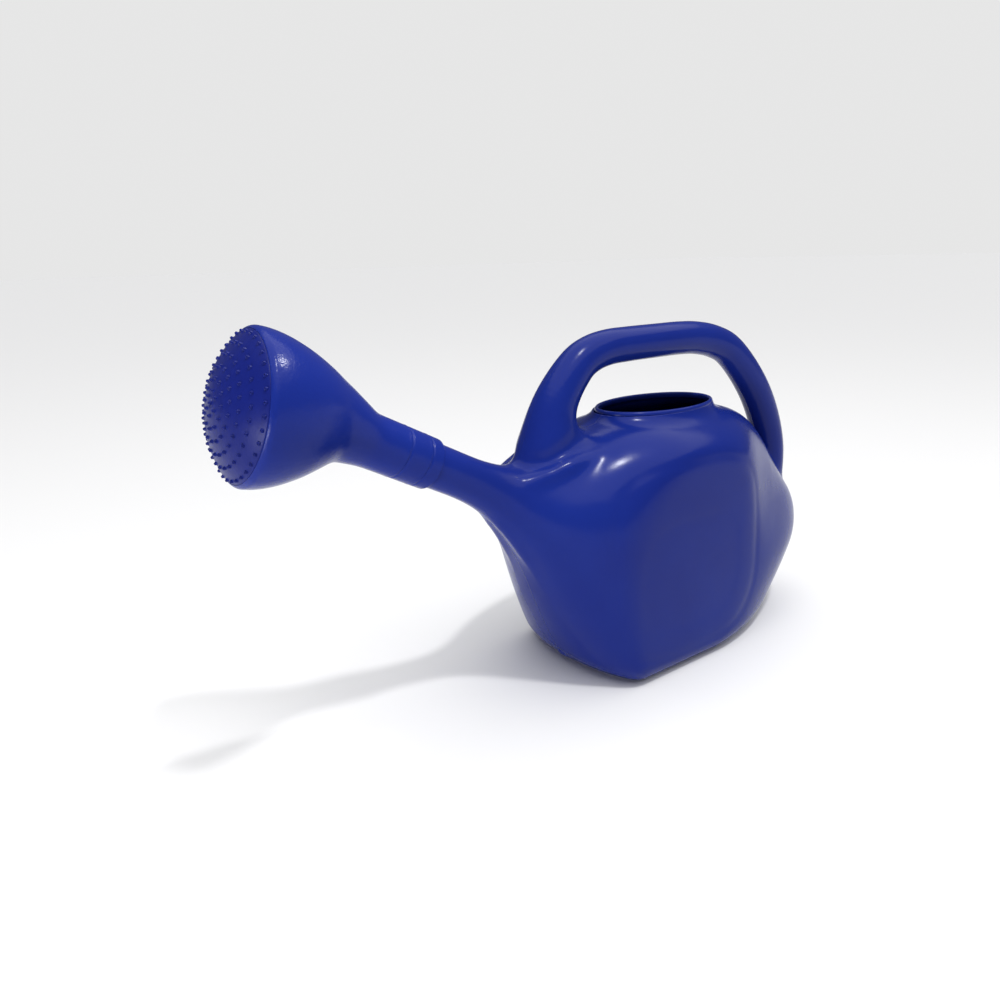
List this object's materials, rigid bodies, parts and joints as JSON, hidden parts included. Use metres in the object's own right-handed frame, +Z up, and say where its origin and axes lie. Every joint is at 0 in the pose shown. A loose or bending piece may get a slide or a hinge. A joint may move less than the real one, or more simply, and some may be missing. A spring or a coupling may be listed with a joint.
{
  "type": "watering can",
  "caption": "Blow-moulded garden watering can with arched carry handle, oval filler neck, straight spout and a push-on angled sprinkler rose.",
  "frame": {"origin": "centre of the footprint on the floor, on the can's middle plane", "axes": "+Z up, the spout points toward -X, +Y across the can"},
  "size_m": [0.5593, 0.1456, 0.3017],
  "materials": {
    "tank_blue": "glossy deep-blue polyethylene with a faint moulding texture",
    "handle_blue": "glossy deep-blue polyethylene with a faint moulding texture",
    "spout_blue": "glossy deep-blue polyethylene with a faint moulding texture",
    "seal_rubber": "matte black rubber",
    "bell_blue": "semi-gloss deep-blue injection-moulded plastic",
    "face_blue": "semi-gloss deep-blue injection-moulded plastic"
  },
  "bodies": {
    "can": {"tank_shell": "tank_blue", "carry_handle": "handle_blue", "spout_tube": "spout_blue"},
    "seal": {"socket_seal_ring": "seal_rubber"},
    "rose": {"rose_bell": "bell_blue", "rose_face_plate": "face_blue"}
  },
  "joints": [
    {"name": "rose_pull_off", "type": "slide", "parent": "can", "child": "seal", "axis": [-0.8821, 0, 0.471], "range_m": [0, 0.06]},
    {"name": "rose_twist", "type": "hinge", "parent": "seal", "child": "rose", "pos_m": [-0.20435, 0, 0.19858], "axis": [-0.8821, 0, 0.471], "continuous": true}
  ]
}
